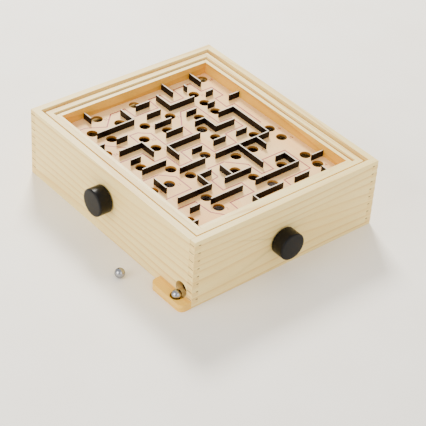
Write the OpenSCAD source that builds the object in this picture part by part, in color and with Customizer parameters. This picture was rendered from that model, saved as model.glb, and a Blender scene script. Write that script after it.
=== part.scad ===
// Tilt maze game: a finger-jointed pine box holding two nested tilting frames,
// a plywood maze board and the shafts, knobs and cords that tilt it.
// Units are millimetres. +X runs along the front wall, +Y to the back, +Z up.
// The origin is the middle of the box's underside.

/* [Box] */
// Width of the box along the front wall
box_w = 283; // [275:1:300]
// Depth of the box along the left wall
box_d = 328; // [320:1:345]
// Height of the box walls
box_h = 95; // [93:1:110]
// Thickness of the box walls
wall_t = 9; // [8:0.5:10]
// Number of finger slots in each corner joint
finger_count = 17; // [9:2:19]

/* [Tilting frames] */
// Gap between the box walls and the outer frame
outer_gap = 4; // [3.5:0.5:5]
// Thickness of the outer frame's rails
outer_rail_t = 7; // [6:0.5:8]
// Height of the outer frame's rails
outer_rail_h = 26; // [22:1:26]
// Depth of the outer frame's top edge below the box's top edge
outer_drop = 2.5; // [1:0.5:4]
// Gap between the outer and the inner frame
inner_gap = 2; // [1.5:0.5:3]
// Thickness of the inner frame's rails
inner_rail_t = 5.5; // [5:0.5:7]
// Height of the inner frame's rails
inner_rail_h = 22; // [20:1:22]
// Depth of the inner frame's top edge below the box's top edge
inner_drop = 5; // [4:0.5:6]
// Height of both tilt axes above the table
pivot_z = 80; // [78:1:82]
// Diameter of the pivot pins
pin_d = 4; // [3:0.5:4]

/* [Maze board] */
// Depth of the board's face below the inner frame's top edge
board_depth = 16; // [13:0.5:16]
// Thickness of the plywood board
board_t = 3.5; // [3:0.5:4]
// Diameter of the holes in the board
hole_d = 14; // [13.5:0.5:15]
// Height of the maze walls above the board
maze_wall_h = 9; // [6:0.5:10]
// Thickness of the maze walls
maze_wall_t = 2; // [1.6:0.1:2]
// Diameter of the steel balls
ball_d = 12.7; // [12:0.1:12.9]

/* [Knobs and shafts] */
// Diameter of both knobs
knob_d = 36; // [30:1:38]
// Length of both knobs
knob_len = 18; // [14:1:22]
// Diameter of both shafts
shaft_d = 6; // [5:0.5:6.5]
// Distance of the left knob's shaft from the front face
left_shaft_y = 170; // [166:1:174]
// Height of the left knob's shaft
left_shaft_z = 54.5; // [53:0.5:55.5]
// Distance of the front knob's shaft from the left face
front_shaft_x = 134; // [130:1:140]
// Height of the front knob's shaft
front_shaft_z = 41.5; // [40:0.5:45.5]

/* [Ball exit] */
// Diameter of the exit hole in the left wall
exit_d = 20; // [18:0.5:20]
// Distance of the exit hole from the front face
exit_y = 19.5; // [19.5:0.5:24]
// Height of the exit hole's centre
exit_z = 17; // [16:0.5:19]
// Width of the exit tray beyond the left wall
exit_tray_w = 15.5; // [15.5:0.5:20]
// Length of the exit tray along the left wall
exit_tray_len = 58; // [50:1:70]
// Height of the exit tray
exit_tray_h = 10; // [9:0.5:12]

/* [Hidden] */
$fn = 64;

// Colours
pine = "#e9d9b4";
pine_inside = "#d9b26a";
birch = "#f1dcc2";
maze_brown = "#2a1710";
knob_black = "#1b1a20";
steel = "#b9bcc0";
brass = "#c9a24a";
cord_white = "#e8e4da";

// Running clearance between a pin or shaft and its hole, on the radius
run_gap = 0.05;

// Inner faces of the box
in_x = box_w - wall_t;
in_y = box_d - wall_t;
finger_h = box_h / finger_count;

// Outer frame: offset of its outer and inner faces from the box's outer faces
outer_out = wall_t + outer_gap;
outer_in = outer_out + outer_rail_t;
outer_top = box_h - outer_drop;
outer_bottom = outer_top - outer_rail_h;

// Inner frame, in the same way
inner_out = outer_in + inner_gap;
inner_in = inner_out + inner_rail_t;
inner_top = box_h - inner_drop;
inner_bottom = inner_top - inner_rail_h;

// Playing field inside the inner frame
field_w = box_w - 2 * inner_in;
field_d = box_d - 2 * inner_in;
board_top = inner_top - board_depth;
board_bottom = board_top - board_t;
cleat_t = 6;
cleat_h = board_bottom - inner_bottom;

// Tilt axes: the outer frame turns about X, the inner frame about Y
tilt_y = box_d / 2;
tilt_x = box_w / 2;
pin_depth = 6;
pin_r = pin_d / 2;
spacer_r = 4.5;
spacer_slack = 0.3;
blind_wall = 1;
outer_pin_len = pin_depth + outer_gap + outer_rail_t - blind_wall;
inner_pin_len = outer_rail_t + inner_gap + inner_rail_t - 2 * blind_wall;

// Rows of the maze: walls and holes alternate at one pitch
row_pitch = 23.1;
first_wall_row = 16.5;
first_hole_row = 31;
function wall_row(i) = first_wall_row + i * row_pitch;
function hole_row(i) = first_hole_row + i * row_pitch;

// Walls across the board: [row, left end, right end]
cross_walls = [
    [0, 0, 14], [0, 97.5, 143], [0, 161.5, 184.5],
    [1, 20, 34.5], [1, 51, 99.5], [1, 119.5, 188.5], [1, 209, 228],
    [2, 20, 71], [2, 91, 132], [2, 171, 184.5],
    [3, 69.5, 89],
    [4, 59, 98], [4, 114, 149], [4, 151, 178], [4, 180, 198],
    [5, 20, 56], [5, 96, 111.5], [5, 129.5, 149], [5, 166, 183],
    [6, 20, 35], [6, 76.5, 127], [6, 153, 182],
    [7, 20, 53], [7, 91.5, 117.5], [7, 137, 151], [7, 175, 198],
    [8, 0, 14.5], [8, 32.5, 49], [8, 91.5, 117.5], [8, 141.5, 157.5], [8, 176, 187.5], [8, 211, 228],
    [9, 20, 76.5], [9, 96.5, 118], [9, 134.5, 172.5], [9, 191.5, 203],
    [10, 96, 118]
];

// Walls along the board: [left face, front end, back end]
long_walls = [
    [95.5, 0, wall_row(0) + maze_wall_t],
    [203, 0, wall_row(0)],
    [184.5, wall_row(1) + maze_wall_t, wall_row(2) + maze_wall_t],
    [67.5, wall_row(2) + maze_wall_t, wall_row(3) + maze_wall_t],
    [102.5, wall_row(2) + maze_wall_t, 88.5],
    [149, 62.5, wall_row(4) + maze_wall_t],
    [178, 90.5, wall_row(4) + maze_wall_t],
    [20, 86.5, 111],
    [74.5, 132.5, wall_row(6) + maze_wall_t],
    [53, 155, wall_row(7) + maze_wall_t],
    [151, wall_row(6), wall_row(7) + maze_wall_t],
    [198, wall_row(4), wall_row(7) + maze_wall_t],
    [74.5, wall_row(9) + maze_wall_t, 253],
    [132.5, wall_row(9), 255],
    [154, 248, 272],
    [177, 248, 255],
    [200, 248, 272],
    [32, 257, 272]
];

// Holes in the board: [row, centre from the field's left edge]
board_holes = [
    [0, 11], [0, 55.5], [0, 139], [0, 211.5],
    [1, 55.5], [1, 128.5], [1, 173.5], [1, 211.5],
    [2, 118.5],
    [3, 11], [3, 36], [3, 68], [3, 139], [3, 166], [3, 213],
    [4, 56], [4, 109], [4, 187.5], [4, 213],
    [5, 28.5], [5, 144],
    [6, 68.5], [6, 141],
    [7, 10.5], [7, 68], [7, 104], [7, 155], [7, 181.5],
    [8, 35], [8, 86], [8, 126], [8, 182],
    [9, 22], [9, 64], [9, 182.5],
    [10, 46], [10, 104], [10, 215]
];

// Catch floor: a thin panel that falls to the exit corner
floor_t = 3;
floor_low_z = 7;
floor_slope = 2.5;
floor_gap = 0.3;
floor_cleat_w = 8;
floor_cleat_h = 7;
floor_cleat_bottom = 0.5;
bearer_w = 10;

// Guide strip that steers a rolling ball from the front wall to the exit hole
guide_t = 4.2;
guide_end_t = 0.6;
guide_len = 130;
guide_top = 24;

// Exit tray
tray_corner_r = 7.5;
pit_d = 16;
pit_floor_z = 5;
pit_x = -6.5;

// Knobs, shafts and what holds them
knob_gap = 1.5;
knob_edge = 1.5;
shaft_r = shaft_d / 2;
knob_r = knob_d / 2;
shaft_blind = 6;
knob_socket = 12;
washer_r = 7;
washer_t = 1.2;
retainer_r = 5.5;
retainer_t = 1;
retainer_gap = 0.4;

// Screw eyes and cords
eye_ring_r = 2.2;
eye_wire_r = 0.6;
eye_neck = 1.4;
eye_screw = 5;
cord_r = 0.5;
cord_lift = 0.1;
cord_turns = 3;
cord_pitch = 1.2;
outer_cord_x = 150;
inner_cord_y = 160;
spring_r = 2.4;
spring_bore_r = 1.4;
spring_wire_r = 0.4;
spring_end_t = 1;
spring_len = 14;
spring_gap = 6;
outer_eye_z = outer_bottom - eye_neck - eye_ring_r;
inner_eye_z = inner_bottom - eye_neck - eye_ring_r;
outer_rail_mid = outer_out + outer_rail_t / 2;
inner_rail_mid = inner_out + inner_rail_t / 2;
outer_spring_y = box_d - outer_rail_mid - spring_gap - spring_len;
inner_spring_x = box_w - inner_rail_mid - spring_gap - spring_len;

// Spare ball beside the box
spare_x = -33;
spare_y = 93;

// Moves a shape drawn from the box's front left corner to the model's origin
module place() {
    translate([-box_w / 2, -box_d / 2, 0]) children();
}

// Moves a shape drawn from the playing field's front left corner
module on_field(z) {
    place() translate([inner_in, inner_in, z]) children();
}

// Cylinder along +X, +Y from a starting point
module rod_x(start, len, r) {
    translate(start) rotate([0, 90, 0]) cylinder(h = len, r = r);
}

module rod_y(start, len, r) {
    translate(start) rotate([-90, 0, 0]) cylinder(h = len, r = r);
}

// Finger slots: the blocks that a wall loses at one corner
module finger_slots(odd, size_x, size_y) {
    for (i = [odd : 2 : finger_count - 1])
        translate([0, 0, i * finger_h]) cube([size_x, size_y, finger_h]);
}

// Box walls. Front and back keep the even fingers, left and right the odd ones.
module cross_wall_blank() {
    difference() {
        cube([box_w, wall_t, box_h]);
        finger_slots(1, wall_t, wall_t);
        translate([in_x, 0, 0]) finger_slots(1, wall_t, wall_t);
    }
}

module side_wall_blank() {
    difference() {
        cube([wall_t, box_d, box_h]);
        finger_slots(0, wall_t, wall_t);
        translate([0, in_y, 0]) finger_slots(0, wall_t, wall_t);
    }
}

module front_wall() {
    color(pine) place() difference() {
        cross_wall_blank();
        rod_y([front_shaft_x, -1, front_shaft_z], wall_t + 2, shaft_r + run_gap);
    }
}

module back_wall() {
    color(pine) place() difference() {
        translate([0, in_y, 0]) cross_wall_blank();
        rod_y([front_shaft_x, in_y - 1, front_shaft_z], shaft_blind + 1.5, shaft_r + run_gap);
    }
}

module left_wall() {
    color(pine) place() difference() {
        side_wall_blank();
        rod_x([-1, left_shaft_y, left_shaft_z], wall_t + 2, shaft_r + run_gap);
        rod_x([wall_t - pin_depth, tilt_y, pivot_z], pin_depth + 1, pin_r);
        rod_x([-1, exit_y, exit_z], wall_t + 2, exit_d / 2);
    }
}

module right_wall() {
    color(pine) place() difference() {
        translate([in_x, 0, 0]) side_wall_blank();
        rod_x([in_x - 1, left_shaft_y, left_shaft_z], shaft_blind + 1.5, shaft_r + run_gap);
        rod_x([in_x - 1, tilt_y, pivot_z], pin_depth + 1, pin_r);
    }
}

// A slab parallel to the catch floor, its top face drop below the floor's face
module sloped_slab(drop, thick) {
    translate([wall_t, wall_t, floor_low_z]) rotate([floor_slope, -floor_slope, 0])
        translate([-wall_t, -wall_t, -drop - thick]) cube([box_w + wall_t, box_d + wall_t, thick]);
}

module catch_floor() {
    color(pine_inside) place() intersection() {
        sloped_slab(0, floor_t);
        translate([wall_t + floor_gap, wall_t + floor_gap, 0])
            cube([in_x - wall_t - 2 * floor_gap, in_y - wall_t - 2 * floor_gap, box_h]);
    }
}

// A batten under the catch floor, inside a given plan rectangle
module floor_cleat(corner, size) {
    color(pine) place() intersection() {
        sloped_slab(floor_t, floor_cleat_h);
        translate([corner[0], corner[1], floor_cleat_bottom]) cube([size[0], size[1], box_h]);
    }
}

module floor_cleat_front() {
    floor_cleat([wall_t, wall_t], [in_x - wall_t, floor_cleat_w]);
}

module floor_cleat_back() {
    floor_cleat([wall_t, in_y - floor_cleat_w], [in_x - wall_t, floor_cleat_w]);
}

module floor_cleat_left() {
    floor_cleat([wall_t, wall_t + floor_cleat_w], [floor_cleat_w, in_y - wall_t - 2 * floor_cleat_w]);
}

module floor_cleat_right() {
    floor_cleat([in_x - floor_cleat_w, wall_t + floor_cleat_w],
                [floor_cleat_w, in_y - wall_t - 2 * floor_cleat_w]);
}

// A batten under the middle of the catch floor that stands on the table
module floor_bearer() {
    color(pine) place() intersection() {
        sloped_slab(floor_t, box_h);
        translate([wall_t + floor_cleat_w, tilt_y - bearer_w / 2, 0])
            cube([in_x - wall_t - 2 * floor_cleat_w, bearer_w, box_h]);
    }
}

// A tapered strip on the front wall just above the catch floor
module exit_guide() {
    color(pine_inside) place() difference() {
        translate([wall_t, wall_t, 0]) linear_extrude(guide_top)
            polygon([[0, 0], [guide_len, 0], [guide_len, guide_end_t], [0, guide_t]]);
        sloped_slab(-floor_gap, box_h);
    }
}

// Exit tray: a rounded strip with a pit that opens to the exit hole
module exit_tray() {
    color(pine_inside) place() difference() {
        linear_extrude(exit_tray_h) {
            translate([-exit_tray_w, tray_corner_r])
                square([exit_tray_w, exit_tray_len - 2 * tray_corner_r]);
            translate([-exit_tray_w + tray_corner_r, 0])
                square([exit_tray_w - tray_corner_r, exit_tray_len]);
            for (y = [tray_corner_r, exit_tray_len - tray_corner_r])
                translate([-exit_tray_w + tray_corner_r, y]) circle(r = tray_corner_r);
        }
        translate([pit_x, exit_y, pit_floor_z]) cylinder(h = exit_tray_h, d = pit_d);
        translate([pit_x, exit_y - pit_d / 2, pit_floor_z]) cube([-pit_x + 1, pit_d, exit_tray_h]);
    }
}

// Pivots of the outer frame, on the box's left and right walls
module outer_pivot_pins() {
    color(steel) place() {
        rod_x([wall_t - pin_depth, tilt_y, pivot_z], outer_pin_len, pin_r);
        rod_x([box_w - outer_in + blind_wall, tilt_y, pivot_z], outer_pin_len, pin_r);
    }
}

module outer_pivot_spacers() {
    color(brass) place() for (x = [wall_t, in_x - outer_gap + spacer_slack]) difference() {
        rod_x([x, tilt_y, pivot_z], outer_gap - spacer_slack, spacer_r);
        rod_x([x - 1, tilt_y, pivot_z], outer_gap + 2, pin_r);
    }
}

// Rails of the outer frame, butt jointed: the side rails run the full depth
module outer_side_rail(x, bore_x) {
    color(pine) place() difference() {
        translate([x, outer_out, outer_bottom])
            cube([outer_rail_t, box_d - 2 * outer_out, outer_rail_h]);
        rod_x([bore_x, tilt_y, pivot_z], outer_rail_t, pin_r + run_gap);
    }
}

module outer_frame_left() {
    outer_side_rail(outer_out, outer_out - blind_wall / 2);
}

module outer_frame_right() {
    outer_side_rail(box_w - outer_in, box_w - outer_in + blind_wall / 2);
}

module outer_cross_rail(y) {
    color(pine) place() difference() {
        translate([outer_in, y, outer_bottom]) cube([box_w - 2 * outer_in, outer_rail_t, outer_rail_h]);
        rod_y([tilt_x, y + blind_wall, pivot_z], outer_rail_t - 2 * blind_wall, pin_r);
        rod_y([tilt_x, y < tilt_y ? y + outer_rail_t - 2 : y - 1, pivot_z], 3, pin_r);
    }
}

module outer_frame_front() {
    outer_cross_rail(outer_out);
}

module outer_frame_back() {
    outer_cross_rail(box_d - outer_in);
}

// Pivots of the inner frame, on the outer frame's front and back rails
module inner_pivot_pins() {
    color(steel) place() {
        rod_y([tilt_x, outer_out + blind_wall, pivot_z], inner_pin_len, pin_r);
        rod_y([tilt_x, box_d - outer_out - blind_wall - inner_pin_len, pivot_z], inner_pin_len, pin_r);
    }
}

module inner_pivot_spacers() {
    color(brass) place() for (y = [outer_in, box_d - inner_out + spacer_slack]) difference() {
        rod_y([tilt_x, y, pivot_z], inner_gap - spacer_slack, spacer_r);
        rod_y([tilt_x, y - 1, pivot_z], inner_gap + 2, pin_r);
    }
}

// A screw eye hanging from a rail, its ring turned about the screw by an angle
module screw_eye(x, y, bottom, turn) {
    translate([x, y, bottom]) {
        translate([0, 0, -eye_neck]) cylinder(h = eye_neck + eye_screw, r = eye_wire_r);
        translate([0, 0, -eye_neck - eye_ring_r]) rotate([90, 0, turn])
            rotate_extrude() translate([eye_ring_r, 0]) circle(r = eye_wire_r, $fn = 24);
    }
}

module outer_cord_eyes() {
    color(steel) place() for (y = [outer_rail_mid, box_d - outer_rail_mid])
        screw_eye(outer_cord_x, y, outer_bottom, 90);
}

module inner_cord_eyes() {
    color(steel) place() for (x = [inner_rail_mid, box_w - inner_rail_mid])
        screw_eye(x, inner_cord_y, inner_bottom, 0);
}

// Rails of the inner frame: the side rails run the full depth
module inner_side_rail(x) {
    color(pine_inside) place() translate([x, inner_out, inner_bottom])
        cube([inner_rail_t, box_d - 2 * inner_out, inner_rail_h]);
}

module inner_frame_left() {
    inner_side_rail(inner_out);
}

module inner_frame_right() {
    inner_side_rail(box_w - inner_in);
}

module inner_cross_rail(y, bore_y) {
    color(pine_inside) place() difference() {
        translate([inner_in, y, inner_bottom]) cube([field_w, inner_rail_t, inner_rail_h]);
        rod_y([tilt_x, bore_y, pivot_z], inner_rail_t, pin_r + run_gap);
    }
}

module inner_frame_front() {
    inner_cross_rail(inner_out, inner_out - blind_wall / 2);
}

module inner_frame_back() {
    inner_cross_rail(box_d - inner_in, box_d - inner_in + blind_wall / 2);
}

// The plywood board with its holes
module maze_board() {
    color(birch) on_field(board_bottom) difference() {
        cube([field_w, field_d, board_t]);
        for (h = board_holes)
            translate([h[1], hole_row(h[0]), -1]) cylinder(h = board_t + 2, d = hole_d);
    }
}

// Battens glued to the inner frame under the board
module board_cleats() {
    color(pine) on_field(inner_bottom) {
        for (x = [0, field_w - cleat_t])
            translate([x, cleat_t + 1, 0]) cube([cleat_t, field_d - 2 * cleat_t - 2, cleat_h]);
        for (y = [0, field_d - cleat_t]) translate([0, y, 0]) cube([field_w, cleat_t, cleat_h]);
    }
}

module cross_maze_walls() {
    color(maze_brown) on_field(board_top) for (w = cross_walls)
        translate([w[1], wall_row(w[0]), 0]) cube([w[2] - w[1], maze_wall_t, maze_wall_h]);
}

module long_maze_walls() {
    color(maze_brown) on_field(board_top) for (w = long_walls)
        translate([w[0], w[1], 0]) cube([maze_wall_t, w[2] - w[1], maze_wall_h]);
}

// A knob along +Z with eased edges and a blind socket in its inner face
module knob_shape() {
    rotate_extrude() difference() {
        union() {
            square([knob_r - knob_edge, knob_len]);
            square([knob_r, knob_len - knob_edge]);
            translate([knob_r - knob_edge, knob_len - knob_edge]) circle(r = knob_edge, $fn = 32);
        }
        square([shaft_r, knob_socket]);
    }
}

// Left knob drive, along X
module left_shaft() {
    color(steel) place()
        rod_x([-knob_gap - knob_socket, left_shaft_y, left_shaft_z],
              knob_gap + knob_socket + in_x + shaft_blind, shaft_r);
}

module left_knob() {
    color(knob_black) place() translate([-knob_gap, left_shaft_y, left_shaft_z])
        rotate([0, -90, 0]) knob_shape();
}

module left_washer() {
    color(steel) place() difference() {
        rod_x([-knob_gap, left_shaft_y, left_shaft_z], washer_t, washer_r);
        rod_x([-knob_gap - 1, left_shaft_y, left_shaft_z], washer_t + 2, shaft_r);
    }
}

module left_retainers() {
    color(steel) place() for (x = [wall_t + retainer_gap, in_x - retainer_gap - retainer_t]) difference() {
        rod_x([x, left_shaft_y, left_shaft_z], retainer_t, retainer_r);
        rod_x([x - 1, left_shaft_y, left_shaft_z], retainer_t + 2, shaft_r);
    }
}

// Front knob drive, along Y
module front_shaft() {
    color(steel) place()
        rod_y([front_shaft_x, -knob_gap - knob_socket, front_shaft_z],
              knob_gap + knob_socket + in_y + shaft_blind, shaft_r);
}

module front_knob() {
    color(knob_black) place() translate([front_shaft_x, -knob_gap, front_shaft_z])
        rotate([90, 0, 0]) knob_shape();
}

module front_washer() {
    color(steel) place() difference() {
        rod_y([front_shaft_x, -knob_gap, front_shaft_z], washer_t, washer_r);
        rod_y([front_shaft_x, -knob_gap - 1, front_shaft_z], washer_t + 2, shaft_r);
    }
}

module front_retainers() {
    color(steel) place() for (y = [wall_t + retainer_gap, in_y - retainer_gap - retainer_t]) difference() {
        rod_y([front_shaft_x, y, front_shaft_z], retainer_t, retainer_r);
        rod_y([front_shaft_x, y - 1, front_shaft_z], retainer_t + 2, shaft_r);
    }
}

// Path of a cord along +X: a loop round the eye's wire, a straight run to the
// shaft, its turns round the shaft, and a straight run to the spring
link_steps = 8;
coil_steps = 36;
link_r = eye_wire_r + cord_r + cord_lift;
coil_r = shaft_r + cord_r + cord_lift;
coil_half = cord_turns * cord_pitch / 2;

function link_point(eye, a) = [eye[0] + eye_ring_r + link_r * cos(a), link_r * sin(a), eye[1]];
function coil_point(shaft, t, k) =
    [shaft[0] + coil_r * sin(t), -coil_half + 2 * coil_half * k, shaft[1] + coil_r * cos(t)];
function fall(from, shaft) = atan2(from[1] - shaft[1] - coil_r, abs(shaft[0] - from[0]));
function turn_at(eye, shaft, spring, k) =
    fall(eye, shaft) + k * (360 * cord_turns - fall(eye, shaft) - fall(spring, shaft));
function cord_path(eye, shaft, spring) = concat(
    [for (i = [0 : link_steps]) link_point(eye, 30 + 240 * i / link_steps)],
    [for (i = [0 : coil_steps]) coil_point(shaft, turn_at(eye, shaft, spring, i / coil_steps), i / coil_steps)],
    [[spring[0], 0, spring[1]]]
);

// Sections square to the path: one axis stays near +Y, or near +Z on the loop
function unit(v) = v / norm(v);
function heading(path, i) = unit(path[min(i + 1, len(path) - 1)] - path[max(i - 1, 0)]);
function across(v, t) = unit(v - (v * t) * t);
function side_axis(t, flat) = flat ? cross(across([0, 0, 1], t), t) : across([0, 1, 0], t);
function section_point(path, i, a) =
    let (t = heading(path, i), u = side_axis(t, i <= link_steps))
    path[i] + cord_r * (cos(a) * u + sin(a) * cross(t, u));

cord_sides = 8;

module cord_line(eye, shaft, spring) {
    path = cord_path(eye, shaft, spring);
    n = len(path);
    points = [for (i = [0 : n - 1]) for (k = [0 : cord_sides - 1]) section_point(path, i, 360 * k / cord_sides)];
    sides = [for (i = [0 : n - 2]) for (k = [0 : cord_sides - 1])
        let (m = (k + 1) % cord_sides, a = i * cord_sides, b = a + cord_sides)
        [a + k, b + k, b + m, a + m]];
    first = [for (k = [0 : cord_sides - 1]) k];
    last = [for (k = [cord_sides - 1 : -1 : 0]) (n - 1) * cord_sides + k];
    polyhedron(points, concat(sides, [first, last]));
}

// A ring of wire that lies flat and links the upright wire of an eye
module eye_link(x, z, ring_r, wire_r) {
    translate([x, 0, z]) rotate_extrude() translate([ring_r, 0]) circle(r = wire_r, $fn = 16);
}

// A closed coil spring along +X as a tube, with a hook on the eye at its far end
module spring_tube(at, eye_x) {
    hook_r = eye_wire_r + spring_wire_r + cord_lift;
    difference() {
        rod_x([at[0], 0, at[1]], spring_len, spring_r);
        rod_x([at[0] + spring_end_t, 0, at[1]], spring_len - 2 * spring_end_t, spring_bore_r);
    }
    rod_x([at[0] + spring_len - spring_end_t / 2, 0, at[1]],
          eye_x - eye_ring_r - hook_r - at[0] - spring_len + spring_end_t / 2, spring_wire_r);
    eye_link(eye_x - eye_ring_r, at[1], hook_r, spring_wire_r);
}

// Turns a shape drawn in the XZ plane to run along Y at the outer cord's place
module outer_cord_plane() {
    place() translate([outer_cord_x, 0, 0]) rotate([0, 0, 90]) children();
}

module outer_cord() {
    color(cord_white) outer_cord_plane()
        cord_line([outer_rail_mid, outer_eye_z], [left_shaft_y, left_shaft_z],
                  [outer_spring_y - cord_lift, outer_eye_z]);
}

module outer_cord_spring() {
    color(steel) outer_cord_plane()
        spring_tube([outer_spring_y, outer_eye_z], box_d - outer_rail_mid);
}

module inner_cord() {
    color(cord_white) place() translate([0, inner_cord_y, 0])
        cord_line([inner_rail_mid, inner_eye_z], [front_shaft_x, front_shaft_z],
                  [inner_spring_x - cord_lift, inner_eye_z]);
}

module inner_cord_spring() {
    color(steel) place() translate([0, inner_cord_y, 0])
        spring_tube([inner_spring_x, inner_eye_z], box_w - inner_rail_mid);
}

// Steel balls: one resting in the exit tray's pit, one on the table
module tray_ball() {
    color(steel) place() translate([pit_x, exit_y, pit_floor_z + ball_d / 2]) sphere(d = ball_d);
}

module spare_ball() {
    color(steel) place() translate([spare_x, spare_y, ball_d / 2]) sphere(d = ball_d);
}

front_wall();
back_wall();
left_wall();
right_wall();
catch_floor();
floor_cleat_front();
floor_cleat_back();
floor_cleat_left();
floor_cleat_right();
floor_bearer();
exit_guide();
exit_tray();
outer_pivot_pins();
outer_pivot_spacers();
outer_frame_front();
outer_frame_back();
outer_frame_left();
outer_frame_right();
inner_pivot_pins();
inner_pivot_spacers();
outer_cord_eyes();
inner_frame_front();
inner_frame_back();
inner_frame_left();
inner_frame_right();
maze_board();
board_cleats();
cross_maze_walls();
long_maze_walls();
inner_cord_eyes();
left_shaft();
left_knob();
left_washer();
left_retainers();
front_shaft();
front_knob();
front_washer();
front_retainers();
outer_cord();
outer_cord_spring();
inner_cord();
inner_cord_spring();
tray_ball();
spare_ball();
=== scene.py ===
"""Tilt maze game: a pine box, two nested tilting frames, a maze board, knobs, cords and balls."""
import math

import bmesh
import bpy
import numpy as np
from mathutils import Matrix, Vector


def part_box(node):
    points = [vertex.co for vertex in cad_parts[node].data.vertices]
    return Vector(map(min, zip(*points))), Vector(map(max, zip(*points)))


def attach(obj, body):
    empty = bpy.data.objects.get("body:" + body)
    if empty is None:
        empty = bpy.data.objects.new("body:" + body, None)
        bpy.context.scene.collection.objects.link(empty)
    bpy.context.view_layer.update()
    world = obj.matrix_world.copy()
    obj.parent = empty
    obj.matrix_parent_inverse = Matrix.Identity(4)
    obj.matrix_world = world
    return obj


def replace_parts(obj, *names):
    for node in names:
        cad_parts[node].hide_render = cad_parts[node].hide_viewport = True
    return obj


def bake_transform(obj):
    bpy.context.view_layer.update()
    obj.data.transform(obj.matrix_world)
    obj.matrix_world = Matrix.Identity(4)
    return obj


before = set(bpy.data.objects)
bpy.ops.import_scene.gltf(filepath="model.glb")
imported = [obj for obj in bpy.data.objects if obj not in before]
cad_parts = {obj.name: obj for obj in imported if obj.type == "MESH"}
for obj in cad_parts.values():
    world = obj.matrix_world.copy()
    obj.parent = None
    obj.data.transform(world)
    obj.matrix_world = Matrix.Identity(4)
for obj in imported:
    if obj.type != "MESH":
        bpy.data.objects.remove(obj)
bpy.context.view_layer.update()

# --- Camera, table and light -------------------------------------------------
# The game stands on a pale table in a softly lit room, seen from above its
# front left corner. The main light comes from behind on the right.
camera_place = Vector((-0.9845, -1.150, 1.113))
camera_heading = math.radians(41.3)
camera_fall = math.radians(36.9)
camera_roll = math.radians(4.0)
forward = Vector((math.sin(camera_heading) * math.cos(camera_fall),
                  math.cos(camera_heading) * math.cos(camera_fall),
                  -math.sin(camera_fall)))
level_right = forward.cross(Vector((0, 0, 1))).normalized()
level_up = level_right.cross(forward)
right = level_right * math.cos(camera_roll) + level_up * math.sin(camera_roll)
up = right.cross(forward)
camera = bpy.data.objects.new("camera", bpy.data.cameras.new("camera"))
camera.data.sensor_width = 36
camera.data.lens = 126
camera.data.clip_end = 30
camera.matrix_world = Matrix.Translation(camera_place) @ Matrix((right, up, -forward)).transposed().to_4x4()
bpy.context.scene.collection.objects.link(camera)
bpy.context.scene.camera = camera


def srgb(red, green, blue):
    """A 0-255 screen colour as linear RGBA: c^2.4 curve above 0.04045, straight below."""
    c = np.array([red, green, blue]) / 255
    linear = np.where(c > 0.04045, ((c + 0.055) / 1.055) ** 2.4, c / 12.92)
    return (*map(float, linear), 1.0)


def blank_material(name, colour, roughness):
    """A material with one Principled shader; returns the material, its tree and the shader."""
    material = bpy.data.materials.new(name)
    material.use_nodes = True
    tree = material.node_tree
    shader = tree.nodes["Principled BSDF"]
    shader.inputs["Base Color"].default_value = colour
    shader.inputs["Roughness"].default_value = roughness
    return material, tree, shader


def stretched_noise(tree, stretch, detail=3.0, offset=(0, 0, 0), distortion=0.0):
    """Noise whose cycles per metre along X, Y and Z are the three numbers of stretch."""
    place = tree.nodes.new("ShaderNodeTexCoord")
    mapping = tree.nodes.new("ShaderNodeMapping")
    mapping.inputs["Scale"].default_value = stretch
    mapping.inputs["Location"].default_value = offset
    noise = tree.nodes.new("ShaderNodeTexNoise")
    noise.inputs["Scale"].default_value = 1.0
    noise.inputs["Detail"].default_value = detail
    noise.inputs["Distortion"].default_value = distortion
    tree.links.new(place.outputs["Object"], mapping.inputs["Vector"])
    tree.links.new(mapping.outputs["Vector"], noise.inputs["Vector"])
    return noise.outputs["Fac"]


def ramp(tree, factor, stops):
    """Colour ramp through (position, colour) stops."""
    node = tree.nodes.new("ShaderNodeValToRGB")
    elements = node.color_ramp.elements
    while len(elements) < len(stops):
        elements.new(0.5)
    for element, (position, colour) in zip(elements, stops):
        element.position = position
        element.color = colour
    tree.links.new(factor, node.inputs["Fac"])
    return node.outputs["Color"]


def blend_colours(tree, factor, first, second, how="MIX"):
    """Mixes two colour sockets, or a socket and a plain colour, by a socket or number."""
    node = tree.nodes.new("ShaderNodeMix")
    node.data_type = "RGBA"
    node.blend_type = how
    for socket, value in ((node.inputs[0], factor), (node.inputs[6], first), (node.inputs[7], second)):
        if isinstance(value, bpy.types.NodeSocket):
            tree.links.new(value, socket)
        else:
            socket.default_value = value
    return node.outputs[2]


def bump(tree, shader, height, strength, distance):
    """Feeds a height socket to the shader's normal; distance is the relief in metres."""
    node = tree.nodes.new("ShaderNodeBump")
    node.inputs["Strength"].default_value = strength
    node.inputs["Distance"].default_value = distance
    tree.links.new(height, node.inputs["Height"])
    tree.links.new(node.outputs["Normal"], shader.inputs["Normal"])


def facing(tree, axis, low, high):
    """0 to 1 as the size of the surface normal's part along one axis goes from low to high."""
    place = tree.nodes.new("ShaderNodeTexCoord")
    split = tree.nodes.new("ShaderNodeSeparateXYZ")
    size = tree.nodes.new("ShaderNodeMath")
    size.operation = "ABSOLUTE"
    spread = tree.nodes.new("ShaderNodeMapRange")
    spread.inputs["From Min"].default_value = low
    spread.inputs["From Max"].default_value = high
    tree.links.new(place.outputs["Normal"], split.inputs[0])
    tree.links.new(split.outputs["XYZ".index(axis)], size.inputs[0])
    tree.links.new(size.outputs[0], spread.inputs["Value"])
    return spread.outputs["Result"]


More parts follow.
